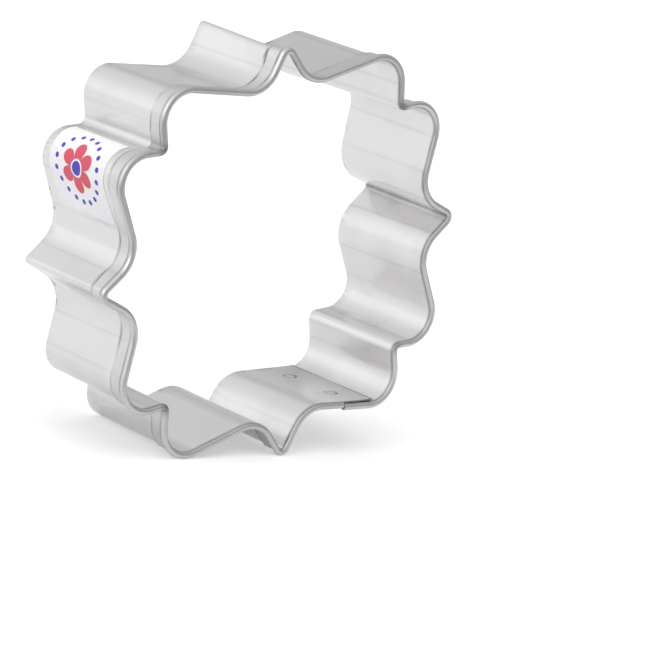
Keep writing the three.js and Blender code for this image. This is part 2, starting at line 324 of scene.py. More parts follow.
# section at mid sheet as (stand-off, height), up the wall, over the bead and down the flap
def stripSection():
    tuck, flapStand = math.radians(strip["tuck"]), strip["sheet"] + strip["hemGap"]
    lowTop, *higher = [hemEdge - below for below in strip["wallRows"]]
    lowRows = math.ceil(lowTop / strip["wallStep"])
    heights = [lowTop * i / lowRows for i in range(lowRows + 1)]
    heights += [*higher, outerTongueTop, hemEdge, hemEdge + strip["hiddenRow"]]
    heights += [beadHeight - strip["rollLine"] * share for share in strip["rollRows"]]
    section = [Vector((0, height)) for height in heights]
    count = math.ceil((180 + strip["tuck"]) / strip["beadStep"])
    beadCentre = Vector((beadBend, beadHeight))
    beadTurns = [(180 + strip["tuck"]) * i / count for i in range(count + 1)]
    section += [beadCentre + polar(beadBend, math.pi - math.radians(turn)) for turn in beadTurns]
    leaving = section[-1]
    bendTop = flapStand + strip["tuckBend"] * (1 - math.cos(tuck))
    run = (leaving.x - bendTop) / math.sin(tuck)
    bendCentre = Vector((flapStand + strip["tuckBend"],
                         leaving.y - run * math.cos(tuck) - strip["tuckBend"] * math.sin(tuck)))
    count = math.ceil(strip["tuck"] / strip["tuckStep"])
    section += [bendCentre - polar(strip["tuckBend"], -tuck * (1 - i / count)) for i in range(count + 1)]
    flapTop = section[-1].y
    groove = flapTop - strip["grooveReach"]
    flap = [groove, groove - strip["grooveFade"], (flapTop + hemEdge) / 2]
    flap += [hemEdge + above for above in (*strip["flapRows"], 0.0)]
    section += [Vector((flapStand, height)) for height in flap]
    rows = dict(tongueTop=heights.index(outerTongueTop), bead=len(heights), flap=len(section) - len(flap) - 1,
                beadTurns=beadTurns)
    return section, rows, flapTop


def polyCurve(name, points):
    data = bpy.data.curves.new(name, "CURVE")
    data.dimensions = "2D"
    data.fill_mode = "NONE"
    spline = data.splines.new("POLY")
    spline.points.add(len(points) - 1)
    for spot, point in zip(spline.points, points):
        spot.co = (point.x, point.y, 0, 1)
    curve = bpy.data.objects.new(name, data)
    bpy.context.scene.collection.objects.link(curve)
    return curve


def spotsAt(distance, spots):
    total = 0.0
    for corner, offset, half, most in spots:
        away = (distance - cornerAt(*corner) - offset + roundLength / 2) % roundLength - roundLength / 2
        total += most * bump(0, half, away)
    return total


def hemLift(distance):
    return spotsAt(distance, strip["lifts"])


# painted shade along the roll line, darker at the listed spots
def rollShade(distance):
    return min(1.0, strip["rollShade"] + spotsAt(distance, strip["rollSpots"]))


def waver(distance, height):
    point, _ = onOutline(distance)
    at = Vector((point.x / strip["waverAlong"], point.y / strip["waverAlong"], height / strip["waverDeep"]))
    return strip["waver"] * noise.noise(at)


# the inner tongue's trimmed top, the flap's lifts and the unevenness, as moves along the wall's own normal
def shapeByHand(mesh, section, columns, rows, flapTop):
    count = len(section)
    for index, vertex in enumerate(mesh.vertices):
        distance, row = columns[index // count], index % count
        drawn, outward = onOutline(distance)
        bent, leaning = onBentStrip(distance, section[row].y)
        stand = lapShift(distance) + section[row].x
        move = waver(distance, section[row].y)
        if row > rows["flap"]:
            share = (flapTop - section[row].y) / (flapTop - hemEdge)
            move += hemLift(distance) * share ** strip["liftCurve"]
        shift = bent - drawn + (leaning - outward) * stand + leaning * move
        vertex.co.x += shift.x
        vertex.co.y += shift.y
        if distance > hemEnd and row <= rows["bead"]:
            share = (distance - hemEnd) / (innerEnd - hemEnd)
            drop = (beadHeight - strip["depth"] + strip["tongueDrop"]) * share
            vertex.co.z *= (beadHeight - drop) / beadHeight


# the flat strip's own coordinates, a tenth of a metre to one unit, and each point's place kept for the marks
def unrolledMap(mesh, section, columns):
    count = len(section)
    runs = [0.0]
    for i in range(1, count):
        runs.append(runs[-1] + (section[i] - section[i - 1]).length)
    layer = mesh.uv_layers[0]
    layer.name = "flatStrip"
    for loop in mesh.loops:
        column, row = divmod(loop.vertex_index, count)
        layer.data[loop.index].uv = (columns[column] / strip["flatUnit"], runs[row] / strip["flatUnit"])
    along = mesh.attributes.new("along", "FLOAT", "POINT")
    across = mesh.attributes.new("across", "INT", "POINT")
    for index in range(len(mesh.vertices)):
        along.data[index].value = columns[index // count]
        across.data[index].value = index % count


# how painted shade and dirt lie on the strip, as shares of the full dark colour and in millimetres; noise as
# its step and its layer
shadeAndSoil = dict(
    edge=0.35, edgeUneven=0.9, edgeLeast=0.1, edgeBand=(0.1, 0.4),     # painted shadow line, with some dirt, along the flap's edge
    liftReach=1.1, shadowSpotReach=0.25,      # how much further that painted shadow reaches under a lift or at a darker spot
    # painted shade beside the inner tongue's end; its cut end darker as bare edge and painted shade; where
    # the tongue's wear begins
    lapBand=(0.15, 0.6), tongueEnd=0.7, tongueEdge=0.3, tongueFrom=0.1,
    # painted shade with dirt in the groove below the bead, and painted shade in the tuck
    groove=0.75, grooveUneven=0.5, tuck=0.8, tuckRows=5,
    patch=0.85, patchUneven=0.5, patchNoise=(0.45, 7.7), patchRow=0.3,
    markNoise=(0.37, 4.1), edgeNoise=(0.3, 2.2, 5.1),
)


# tool marks where bends begin and end; painted shade with some dirt along the flap's edge, in its groove, at
# the lap and inside the roll; and darkening near the notches
def handlingMarks(mesh, section, rows, flapTop):
    marks = bendMarks()
    along = [item.value for item in mesh.attributes["along"].data]
    across = [item.value for item in mesh.attributes["across"].data]
    normals = [vertex.normal.copy() for vertex in mesh.vertices]
    names = ("toolMark", "seamShadeAndDirt", "rolled")
    for name in names:
        mesh.attributes.new(name, "FLOAT", "POINT")
    toolMark, seamShadeAndDirt, rolled = [mesh.attributes[name] for name in names]
    notches = [cornerAt("notch", count) for count in range(4)]
    lapEnd = innerEnd - roundLength
    for index in range(len(along)):
        distance, row = along[index], across[index]
        _, outward = onOutline(distance)
        nearest = min(marks, key=lambda mark: abs(distance % roundLength - mark))
        step, layer = shadeAndSoil["markNoise"]
        depth = 0.5 + 0.5 * noise.noise(Vector((nearest * step, layer, 0)))
        fromMark = abs(distance % roundLength - nearest) / strip["markHalf"]
        toolMark.data[index].value = depth * max(0.0, 1 - fromMark)
        outside = normals[index].x * outward.x + normals[index].y * outward.y > 0
        height, shadeAndDirt = section[row].y, 0.0
        step, *layers = shadeAndSoil["edgeNoise"]
        uneven, shadowSpot = noise.noise(Vector((distance * step, *layers))), spotsAt(distance, strip["shadowSpots"])
        edgeShadeAndDirt = min(1.0, max(shadeAndSoil["edgeLeast"], shadeAndSoil["edge"] + shadeAndSoil["edgeUneven"] * uneven + shadowSpot))
        if row < rows["bead"]:
            # painted shadow of the flap's edge on the wall beside it, wider where the flap lifts
            reach = strip["edgeShadowReach"] + shadeAndSoil["liftReach"] * hemLift(distance) + shadeAndSoil["shadowSpotReach"] * shadowSpot
            if outside and hemStart < distance < hemEnd:
                shadeAndDirt = edgeShadeAndDirt * (1 - smoothStep(reach, reach + strip["edgeShadowFade"], hemEdge - height))
            # painted shade on the outer layer beside the inner tongue's end
            if not outside and distance >= lapEnd:
                shadeAndDirt = max(shadeAndDirt, 1 - smoothStep(*shadeAndSoil["lapBand"], distance - lapEnd))
            # the tongue's cut end darker: bare edge and painted shade
            if distance > innerEnd - shadeAndSoil["tongueEdge"]:
                shadeAndDirt = max(shadeAndDirt, shadeAndSoil["tongueEnd"])
            if not outside and distance > innerEnd - strip["tongueReach"]:
                toEnd = (innerEnd - distance) / strip["tongueReach"]
                worn = 1 - smoothStep(shadeAndSoil["tongueFrom"], 1, toEnd)
                rolled.data[index].value = strip["tongueWear"] * worn
            if not outside and distance < hemEnd:
                # painted shade: a dark line inside where the wall rolls over
                line = 1 - smoothStep(0, strip["rollLine"], abs(beadHeight - strip["rollLine"] - height))
                shadeAndDirt = max(shadeAndDirt, rollShade(distance) * line, spotsAt(distance, strip["folds"]))
        elif row >= rows["flap"] and outside:
            # painted shadow line along the flap's edge, uneven like dirt
            shadeAndDirt = edgeShadeAndDirt * (1 - smoothStep(*shadeAndSoil["edgeBand"], height - hemEdge))
            # painted shade with dirt in the groove below the bead
            below = flapTop - height - strip["grooveReach"]
            grooveShadeAndDirt = shadeAndSoil["groove"] + shadeAndSoil["grooveUneven"] * uneven
            shadeAndDirt = max(shadeAndDirt, grooveShadeAndDirt * (1 - smoothStep(0, strip["grooveFade"], below)))
            rolled.data[index].value = strip["flapWear"]
        elif row > rows["flap"] - shadeAndSoil["tuckRows"] and outside:
            # painted shade in the tuck below the bead
            shadeAndDirt = shadeAndSoil["tuck"]
        elif row - rows["bead"] < len(rows["beadTurns"]):
            # painted shade on the first turn of the bead, the same roll line
            turn = rows["beadTurns"][row - rows["bead"]]
            shadeAndDirt = rollShade(distance) * (1 - smoothStep(*strip["rollTurn"], turn))
            rolled.data[index].value = 1.0
        if row >= rows["bead"]:
            # hem darker near the notches
            toNotch = min(abs(distance % roundLength - notch) for notch in notches)
            shadeAndDirt = max(shadeAndDirt, strip["notchDarkening"] * bump(0, strip["notchReach"], toNotch))
        step, layer = shadeAndSoil["patchNoise"]
        patch = noise.noise(Vector((distance * step, row * shadeAndSoil["patchRow"], layer)))
        patchy = shadeAndSoil["patch"] + shadeAndSoil["patchUneven"] * patch
        # the seam mark is painted shade with some dirt
        seamShadeAndDirt.data[index].value = min(1.0, shadeAndDirt * patchy)
    for name in ("along", "across"):
        mesh.attributes.remove(mesh.attributes[name])


def trimTongues(piece, columns, rows, count):
    pick(piece)
    bpy.ops.object.mode_set(mode="EDIT")
    bpy.ops.mesh.select_mode(type="FACE")
    bpy.ops.mesh.select_all(action="DESELECT")
    bpy.ops.object.mode_set(mode="OBJECT")
    for face in piece.data.polygons:
        middle = sum(columns[v // count] for v in face.vertices) / len(face.vertices)
        lowest = min(v % count for v in face.vertices)
        overOuter = middle < hemStart and lowest >= rows["tongueTop"]
        overInner = middle > hemEnd and lowest >= rows["bead"]
        face.select = overOuter or overInner
    bpy.ops.object.mode_set(mode="EDIT")
    bpy.ops.mesh.delete(type="FACE")
    bpy.ops.object.mode_set(mode="OBJECT")


def makeStrip():
    section, rows, flapTop = stripSection()
    half, lapEnd = strip["markHalf"], innerEnd - roundLength
    extra = [hemStart, hemEnd]
    extra += [innerEnd - before for before in strip["endColumns"]]
    extra += [lapEnd + past for past in strip["lapColumns"]]
    for mark in bendMarks():
        for turn in range(2):
            extra += [mark + turn * roundLength + offset for offset in (-half, 0, half)]
    columns = stations(outerEnd, innerEnd, extra)
    points = []
    for distance in columns:
        point, outward = onOutline(distance)
        points.append(point + outward * lapShift(distance))
    path, profile = polyCurve("cutterStrip", points), polyCurve("stripProfile", section)
    path.data.bevel_mode = "OBJECT"
    path.data.bevel_object = profile
    pick(path)
    bpy.ops.object.convert(target="MESH")
    piece = bpy.context.object
    bpy.data.objects.remove(profile)
    shapeByHand(piece.data, section, columns, rows, flapTop)
    unrolledMap(piece.data, section, columns)
    trimTongues(piece, columns, rows, len(section))
    applyModifier(piece, "SOLIDIFY", thickness=strip["sheet"], offset=0.0, use_even_offset=True)
    handlingMarks(piece.data, section, rows, flapTop)
    applyModifier(piece, "BEVEL", width=strip["cutRound"], segments=strip["cutFacets"], limit_method="ANGLE",
                  angle_limit=math.radians(strip["cutAngle"]), use_clamp_overlap=True)
    return piece


# spot welds: dimples where the electrodes pressed the two layers together
weld = dict(diameter=2.6, ring=0.1, fromRim=6.7, pitch=12.4, sides=64, smooth=40.0,
            drill=3.0,                             # length of the drill, in lap thicknesses
            facing=0.9,                            # how squarely a face at either end looks along the weld
            lip=0.035, lipWidth=0.3, lipShare=0.4,
            dish=0.1, dishSteps=[(0.22, 0.7), (0.3, 0.3)],     # widths, and shares of the dish's depth
            burnt=0.6, shadedSide=35.0, burntEven=0.6)     # darkened edge: width, way of the painted shade that darkens one side more, share burnt all round
weldHeights = dict(spot_weld_front=strip["depth"] - weld["fromRim"],
                   spot_weld_rear=strip["depth"] - weld["fromRim"] - weld["pitch"])
lapThickness = lapStep + strip["sheet"]


def atWeld(height):
    point, outward = onBentStrip(bottomTip + strip["lapCentre"], height)
    up = Vector((0, 0, 1))
    normal = Vector((*outward, 0))
    side = up.cross(normal)
    turn = Matrix((side, up, normal)).transposed().to_4x4()
    return Matrix.Translation((*(point + outward * lapStep / 2), height)) @ turn


def drillFor(height):
    deselectAll()
    bpy.ops.mesh.primitive_cylinder_add(vertices=weld["sides"], radius=weld["diameter"] / 2 + weld["ring"],
                                        depth=lapThickness * weld["drill"])
    drill = bpy.context.object
    drill.matrix_world = atWeld(height)
    return drill


def makeWeld(name, height):
    radius = weld["diameter"] / 2
    deselectAll()
    bpy.ops.mesh.primitive_cylinder_add(vertices=weld["sides"], radius=radius, depth=lapThickness)
    piece = bpy.context.object
    piece.name = name
    # each face: a flat margin, a raised lip, then steps down into the dish
    rings = [(weld["lipWidth"] * weld["lipShare"], weld["lip"]),
             (weld["lipWidth"] * (1 - weld["lipShare"]), -weld["lip"])]
    rings += [(width, -weld["dish"] * share) for width, share in weld["dishSteps"]]
    for side in (1, -1):
        bpy.ops.object.mode_set(mode="EDIT")
        bpy.ops.mesh.select_mode(type="FACE")
        bpy.ops.mesh.select_all(action="DESELECT")
        bpy.ops.object.mode_set(mode="OBJECT")
        for face in piece.data.polygons:
            face.select = face.normal.z * side > weld["facing"]
        bpy.ops.object.mode_set(mode="EDIT")
        for width, rise in rings:
            bpy.ops.mesh.inset(thickness=width, depth=0)
            bpy.ops.transform.translate(value=(0, 0, side * rise))
        bpy.ops.object.mode_set(mode="OBJECT")
    scorchAndShade = piece.data.attributes.new("scorchAndShade", "FLOAT", "POINT")
    # the edge is burnt all round, and painted shade darkens it more on one side
    darkest = polar(1, math.radians(weld["shadedSide"]))
    for vertex in piece.data.vertices:
        flat = vertex.co.xy
        towards = flat.dot(darkest) / max(flat.length, radius / 2)
        turned = weld["burntEven"] + (1 - weld["burntEven"]) * towards
        scorchAndShade.data[vertex.index].value = turned * smoothStep(radius - weld["burnt"], radius, flat.length)
    piece.matrix_world = atWeld(height)
    return piece


# label: paper stuck round the shoulder below the upper left notch
label = dict(length=17.0, fromNotch=3.1, fromEdge=1.6, fromHem=1.3, rise=1.4, paper=0.06, glue=0.01,
             alongFacets=60, acrossFacets=24, smooth=40.0)
labelWidth = hemEdge - label["fromHem"] - label["rise"] - label["fromEdge"]


def makeLabel():
    start = cornerAt("notch", 1) + label["fromNotch"]
    deselectAll()
    bpy.ops.mesh.primitive_grid_add(x_subdivisions=label["alongFacets"],
                                    y_subdivisions=label["acrossFacets"], size=1)
    piece = bpy.context.object
    piece.name = "label"
    piece.data.uv_layers[0].name = "labelPrint"
    stand = strip["sheet"] / 2 + label["glue"] + label["paper"] / 2
    for vertex in piece.data.vertices:
        along, across = vertex.co.x + 0.5, vertex.co.y + 0.5
        distance = start + label["length"] * along
        height = label["fromEdge"] + labelWidth * across + label["rise"] * along
        point, outward = onBentStrip(distance, height)
        spot = point + outward * (stand + waver(distance, height))
        vertex.co = (spot.x, spot.y, height)
    applyModifier(piece, "SOLIDIFY", thickness=label["paper"], offset=0.0)
    return piece


def settle(piece, node, material, smoothAngle):
    piece.name = node + "_finish"
    piece.matrix_world = cutterToRow @ piece.matrix_world
    pick(piece)
    bpy.ops.object.transform_apply(location=True, rotation=True, scale=True)
    bpy.ops.object.mode_set(mode="EDIT")
    bpy.ops.mesh.select_all(action="SELECT")
    bpy.ops.mesh.normals_make_consistent(inside=False)
    bpy.ops.object.mode_set(mode="OBJECT")
    bpy.ops.object.shade_smooth_by_angle(angle=math.radians(smoothAngle))
    piece.data.materials.clear()
    piece.data.materials.append(material)
    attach(piece, "root")
    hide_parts(node)
    print("piece", piece.name, len(piece.data.polygons), "faces")


# material helpers
def newMaterial(name):
    material = bpy.data.materials.new(name)
    material.use_nodes = True
    nodes = material.node_tree.nodes
    return material, nodes, material.node_tree.links, nodes["Principled BSDF"]


def setInputs(node, **values):
    for name, value in values.items():
        node.inputs[name].default_value = value


def mathNode(nodes, links, operation, first, second=0.0, third=0.0):
    node = nodes.new("ShaderNodeMath")
    node.operation = operation
    for socket, value in zip(node.inputs, (first, second, third)):
        if isinstance(value, (int, float)):
            socket.default_value = value
        else:
            links.new(value, socket)
    return node.outputs[0]


def fade(nodes, links, value, low, high, outLow=0.0, outHigh=1.0):
    node = nodes.new("ShaderNodeMapRange")
    node.interpolation_type = "SMOOTHSTEP"
    links.new(value, node.inputs["Value"])
    setInputs(node, **{"From Min": low, "From Max": high, "To Min": outLow, "To Max": outHigh})
    return node.outputs["Result"]


def noiseNode(nodes, links, vector, scale, detail=2.0, roughness=0.5):
    node = nodes.new("ShaderNodeTexNoise")
    setInputs(node, Scale=scale, Detail=detail, Roughness=roughness)
    links.new(vector, node.inputs["Vector"])
    return node.outputs["Fac"]


def mapped(nodes, links, vector, scale, turn=0.0):
    node = nodes.new("ShaderNodeMapping")
    node.inputs["Scale"].default_value = scale
    node.inputs["Rotation"].default_value = (0, 0, turn)
    links.new(vector, node.inputs["Vector"])
    return node.outputs["Vector"]


def mixColour(nodes, links, factor, first, second):
    node = nodes.new("ShaderNodeMix")
    node.data_type = "RGBA"
    links.new(factor, node.inputs["Factor"])
    for socket, colour in ((node.inputs["A"], first), (node.inputs["B"], second)):
        if isinstance(colour, tuple):
            socket.default_value = colour
        else:
            links.new(colour, socket)
    return node.outputs["Result"]


# bright satin tinplate with rolling lines along the strip, faint scratches, patches, and a near-black colour
# for painted shade with some dirt in the seams
tinplate = dict(bright=(0.757, 0.748, 0.748, 1), handled=(0.707, 0.698, 0.698, 1),
                marked=(0.527, 0.52, 0.52, 1), shadeAndDirt=(0.13, 0.128, 0.125, 1), rolled=(0.60, 0.592, 0.592, 1),
                # noise where each look fades in, and the shares that it fades between
                handledFade=(0.45, 0.75), markFade=(0.3, 0.6, 0.2, 0.65), shadeAndDirtFade=(0.25, 0.7, 0.7, 1.0),
                wornFade=(0.3, 0.65, 0.6, 1.0), roughFade=(0.35, 0.65),
                # noise as scale, detail and roughness
                lineScale=(5, 380, 1), lineNoise=(1.0, 3.0, 0.6), patchNoise=(80.0, 4.0, 0.55),
                patchShare=0.7,                    # of the roughness, the rest being rolling lines
                scratchRuns=[dict(scale=(40, 1100, 1), turn=0.35, shows=(0.79, 0.84)),
                             dict(scale=(1000, 30, 1), turn=0.2, shows=(0.78, 0.83))],
                scratchTone=0.03, bumpStrength=0.1,
                roughLow=0.18, roughHigh=0.28, roughSeam=0.2, roughRolled=0.24,
                lineHeight=0.000002, scratchHeight=0.0000004)


def tinplateFinish():
    material, nodes, links, shader = newMaterial("brightTinplate")

    def calc(operation, *values):
        return mathNode(nodes, links, operation, *values)

    def attribute(name):
        node = nodes.new("ShaderNodeAttribute")
        node.attribute_name = name
        return node.outputs["Fac"]

    flat = nodes.new("ShaderNodeUVMap")
    flat.uv_map = "flatStrip"
    uv = flat.outputs["UV"]
    place = nodes.new("ShaderNodeTexCoord").outputs["Object"]
    lines = noiseNode(nodes, links, mapped(nodes, links, uv, tinplate["lineScale"]), *tinplate["lineNoise"])
    patches = noiseNode(nodes, links, place, *tinplate["patchNoise"])
    streaks = []
    for run in tinplate["scratchRuns"]:
        streak = noiseNode(nodes, links, mapped(nodes, links, uv, run["scale"], run["turn"]), 1.0, 0.0)
        streaks.append(fade(nodes, links, streak, *run["shows"]))
    scratches = calc("MAXIMUM", *streaks)
    handled = fade(nodes, links, patches, *tinplate["handledFade"])
    tooled = calc("MULTIPLY", attribute("toolMark"), fade(nodes, links, patches, *tinplate["markFade"]))
    marked = calc("MAXIMUM", tooled, calc("MULTIPLY", scratches, tinplate["scratchTone"]))
    # painted shade with some dirt, from the seam mark
    shadedAndDirty = calc("MULTIPLY", attribute("seamShadeAndDirt"), fade(nodes, links, patches, *tinplate["shadeAndDirtFade"]))
    colour = mixColour(nodes, links, handled, tinplate["bright"], tinplate["handled"])
    worn = calc("MULTIPLY", attribute("rolled"), fade(nodes, links, patches, *tinplate["wornFade"]))
    colour = mixColour(nodes, links, worn, colour, tinplate["rolled"])
    colour = mixColour(nodes, links, marked, colour, tinplate["marked"])
    colour = mixColour(nodes, links, shadedAndDirty, colour, tinplate["shadeAndDirt"])
    links.new(colour, shader.inputs["Base Color"])
    blend = calc("ADD", calc("MULTIPLY", patches, tinplate["patchShare"]),
                 calc("MULTIPLY", lines, 1 - tinplate["patchShare"]))
    roughness = fade(nodes, links, blend, *tinplate["roughFade"], tinplate["roughLow"], tinplate["roughHigh"])
    roughness = calc("MULTIPLY_ADD", worn, tinplate["roughRolled"], roughness)
    links.new(calc("MULTIPLY_ADD", shadedAndDirty, tinplate["roughSeam"], roughness), shader.inputs["Roughness"])
    shader.inputs["Metallic"].default_value = 1.0
    lineBump = nodes.new("ShaderNodeBump")
    setInputs(lineBump, Strength=tinplate["bumpStrength"], Distance=tinplate["lineHeight"])
    links.new(lines, lineBump.inputs["Height"])
    scratchBump = nodes.new("ShaderNodeBump")
    scratchBump.invert = True
    setInputs(scratchBump, Strength=tinplate["bumpStrength"], Distance=tinplate["scratchHeight"])
    links.new(scratches, scratchBump.inputs["Height"])
    links.new(lineBump.outputs["Normal"], scratchBump.inputs["Normal"])
    links.new(scratchBump.outputs["Normal"], shader.inputs["Normal"])
    return material


# weld: tin pressed dull by the electrode, its edge burnt and darkened more on one side by painted shade
weldMetal = dict(dull=(0.70, 0.70, 0.705, 1), burnt=(0.56, 0.555, 0.55, 1), scorchedAndShaded=(0.16, 0.158, 0.155, 1),
                 roughLow=0.3, roughHigh=0.46, roughFade=(0.3, 0.7),
                 speckleNoise=(2600.0, 4.0, 0.65), speckleFade=(0.45, 0.7),
                 bumpStrength=0.3, bumpHeight=0.00001)


def weldFinish():
    material, nodes, links, shader = newMaterial("weldDimple")
    place = nodes.new("ShaderNodeTexCoord").outputs["Object"]
    speckle = noiseNode(nodes, links, place, *weldMetal["speckleNoise"])
    speckled = fade(nodes, links, speckle, *weldMetal["speckleFade"])
    colour = mixColour(nodes, links, speckled, weldMetal["dull"], weldMetal["burnt"])
    scorchAndShade = nodes.new("ShaderNodeAttribute")
    scorchAndShade.attribute_name = "scorchAndShade"
    colour = mixColour(nodes, links, scorchAndShade.outputs["Fac"], colour, weldMetal["scorchedAndShaded"])
    links.new(colour, shader.inputs["Base Color"])
    roughness = fade(nodes, links, speckle, *weldMetal["roughFade"], weldMetal["roughLow"],
                     weldMetal["roughHigh"])
    links.new(roughness, shader.inputs["Roughness"])
    shader.inputs["Metallic"].default_value = 1.0
    dimple = nodes.new("ShaderNodeBump")
    setInputs(dimple, Strength=weldMetal["bumpStrength"], Distance=weldMetal["bumpHeight"])
    links.new(speckle, dimple.inputs["Height"])
    links.new(dimple.outputs["Normal"], shader.inputs["Normal"])
    return material


# paper with a printed daisy in a ring of dots, in millimetres from the middle
printed = dict(paper=(0.93, 0.92, 0.955, 1), fibre=(0.88, 0.87, 0.91, 1), blue=(0.061, 0.045, 0.52, 1),
               pink=(0.70, 0.085, 0.135, 1), soft=0.07,
               fibreNoise=(1500.0, 5.0, 0.65), fibreFade=(0.4, 0.75), roughFade=(0.3, 0.7, 0.42, 0.55),
               weaveStrength=0.25, weaveHeight=0.00001,
               petals=6, petalReach=4.6, petalCut=0.62, petalRound=0.45, eye=1.3, gap=1.65,
               dots=18, dotRing=6.2, dotSize=0.5)


def labelFinish():
    material, nodes, links, shader = newMaterial("printedPaper")

    def calc(operation, *values):
        return mathNode(nodes, links, operation, *values)

    def inside(value, edge):
        return fade(nodes, links, value, edge - printed["soft"], edge + printed["soft"], 1.0, 0.0)

    uv = nodes.new("ShaderNodeUVMap")
    uv.uv_map = "labelPrint"
    parts = nodes.new("ShaderNodeSeparateXYZ")
    links.new(uv.outputs["UV"], parts.inputs["Vector"])
    x = calc("MULTIPLY", calc("SUBTRACT", parts.outputs["X"], 0.5), label["length"])
    y = calc("MULTIPLY", calc("SUBTRACT", parts.outputs["Y"], 0.5), labelWidth)
    reach = calc("SQRT", calc("ADD", calc("MULTIPLY", x, x), calc("MULTIPLY", y, y)))
    angle = calc("ARCTAN2", y, x)

    # daisy, its white ring and its eye
    lobes = calc("POWER", calc("ABSOLUTE", calc("COSINE", calc("MULTIPLY", angle, printed["petals"] / 2))),
                 printed["petalRound"])
    edge = calc("MULTIPLY_ADD", lobes, printed["petalReach"] * printed["petalCut"],
                printed["petalReach"] * (1 - printed["petalCut"]))
    petal = inside(calc("SUBTRACT", reach, edge), 0.0)
    ring = inside(reach, printed["gap"])
    eye = inside(reach, printed["eye"])

    # dots spaced round a circle
    turn = calc("MULTIPLY", angle, printed["dots"] / math.tau)
    offTurn = calc("SUBTRACT", turn, calc("ROUND", turn))
    sideways = calc("MULTIPLY", offTurn, math.tau / printed["dots"] * printed["dotRing"])
    outwards = calc("SUBTRACT", reach, printed["dotRing"])
    fromDot = calc("SQRT", calc("ADD", calc("MULTIPLY", sideways, sideways),
                                calc("MULTIPLY", outwards, outwards)))
    dot = inside(fromDot, printed["dotSize"])

    place = nodes.new("ShaderNodeTexCoord").outputs["Object"]
    fibres = noiseNode(nodes, links, place, *printed["fibreNoise"])
    fibrous = fade(nodes, links, fibres, *printed["fibreFade"])
    paper = mixColour(nodes, links, fibrous, printed["paper"], printed["fibre"])
    colour = mixColour(nodes, links, petal, paper, printed["pink"])
    colour = mixColour(nodes, links, ring, colour, paper)
    colour = mixColour(nodes, links, calc("MAXIMUM", eye, dot), colour, printed["blue"])
    links.new(colour, shader.inputs["Base Color"])
    links.new(fade(nodes, links, fibres, *printed["roughFade"]), shader.inputs["Roughness"])
    weave = nodes.new("ShaderNodeBump")
    setInputs(weave, Strength=printed["weaveStrength"], Distance=printed["weaveHeight"])
    links.new(fibres, weave.inputs["Height"])
    links.new(weave.outputs["Normal"], shader.inputs["Normal"])
    return material


# build the pieces
stripPiece = makeStrip()
print("strip swept and folded")
for height in weldHeights.values():
    drill = drillFor(height)
    applyModifier(stripPiece, "BOOLEAN", operation="DIFFERENCE", object=drill, solver="EXACT")
    bpy.data.objects.remove(drill)
weldPieces = {name: makeWeld(name, height) for name, height in weldHeights.items()}
labelPiece = makeLabel()
print("welds and label made")

settle(stripPiece, "cutter_strip", tinplateFinish(), strip["smooth"])
weldMaterial = weldFinish()
for node, piece in weldPieces.items():
    settle(piece, node, weldMaterial, weld["smooth"])
settle(labelPiece, "label", labelFinish(), label["smooth"])

# floor, soft light and camera
stage = dict(floorSize=6.0, floorColour=(0.74, 0.74, 0.74, 1), floorRough=0.9,
             floorGlow=0.38, floorGloss=0.22,      # added for the camera, and for what metal shows
             # painted shade: metal sees the floor on the camera's side as a dim emission, darkest below the
             # camera
             dimFrom=0.02, dimTo=0.16, dimLevel=0.5, darkHalf=0.09, darkLevel=0.3,
             dome=0.45, roomLevel=1.2,
             front=0.5, frontFrom=-0.7, frontTo=0.3, ceiling=1.0, ceilingFrom=0.1, ceilingTo=0.7,
             # brightness of the room behind the cutter from left to right, as (sideways, share of roomLevel)
             room=[(-0.62, 0.95), (-0.5, 0.90), (-0.4, 0.82), (-0.2, 0.75), (0.1, 0.71), (0.3, 0.62),
                   (0.42, 0.50), (0.62, 0.53)],
             lamps=dict(softKey=dict(spread=75.0, power=1.6, place=(-0.1, -0.1, 1.0), inMetal=False),
                        sideFill=dict(spread=60.0, power=0.9, place=(-1.0, -0.2, 0.35), inMetal=True)))
photoView = dict(azimuth=-42.44, elevation=13.25, roll=11.72, distance=0.6, lens=173.1, sensor=36.0,
                 aside=(0.0141, -0.0139, -0.0146))     # aim, from the middle of the cutter


def seenInMetal(nodes, links, rays):
    glossy, through = rays.outputs["Is Glossy Ray"], rays.outputs["Is Transmission Ray"]
    return mathNode(nodes, links, "MAXIMUM", glossy, through)


